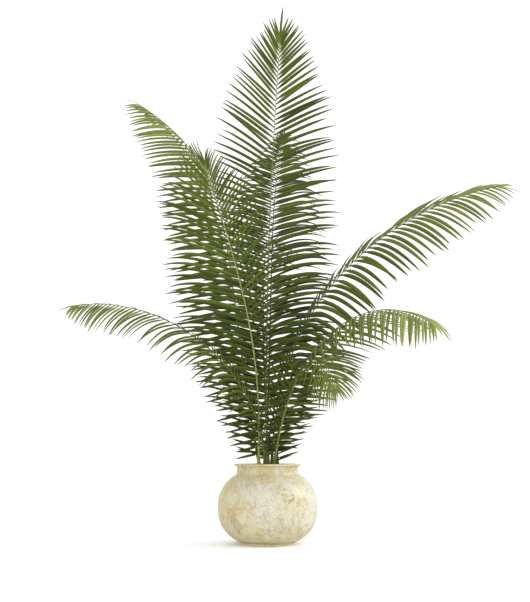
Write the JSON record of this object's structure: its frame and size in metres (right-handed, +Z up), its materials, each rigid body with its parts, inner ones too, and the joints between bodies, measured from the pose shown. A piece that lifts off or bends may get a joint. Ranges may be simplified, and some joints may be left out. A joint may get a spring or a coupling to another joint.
{
  "type": "potted areca palm",
  "caption": "Areca palm with feathery arching fronds rising from a short clustered stem in a round pot of cream marble.",
  "frame": {"origin": "centre of the pot's flat underside", "axes": "+Z up the plant; -Y is the side the plant is seen from, and +X is to the right from there"},
  "size_m": [1.5072, 1.3316, 1.8156],
  "materials": {
    "pot": "polished cream marble with fine grey-brown veins",
    "soil": "dark loose potting soil",
    "stem": "green and straw coloured leaf sheaths",
    "frond": "satin green leaflets on yellow-green midribs"
  },
  "bodies": {
    "root": {"pot": "pot", "soil": "soil", "stem": "stem", "frond_1": "frond", "frond_2_stalk": "frond", "frond_2_arch": "frond", "frond_3": "frond", "frond_4": "frond", "frond_5_stalk": "frond", "frond_5_arch": "frond", "frond_6_stalk": "frond", "frond_6_arch": "frond", "frond_7_stalk": "frond", "frond_7_arch": "frond", "frond_8_stalk": "frond", "frond_8_arch": "frond", "frond_9_stalk": "frond", "frond_9_arch": "frond"}
  },
  "joints": []
}
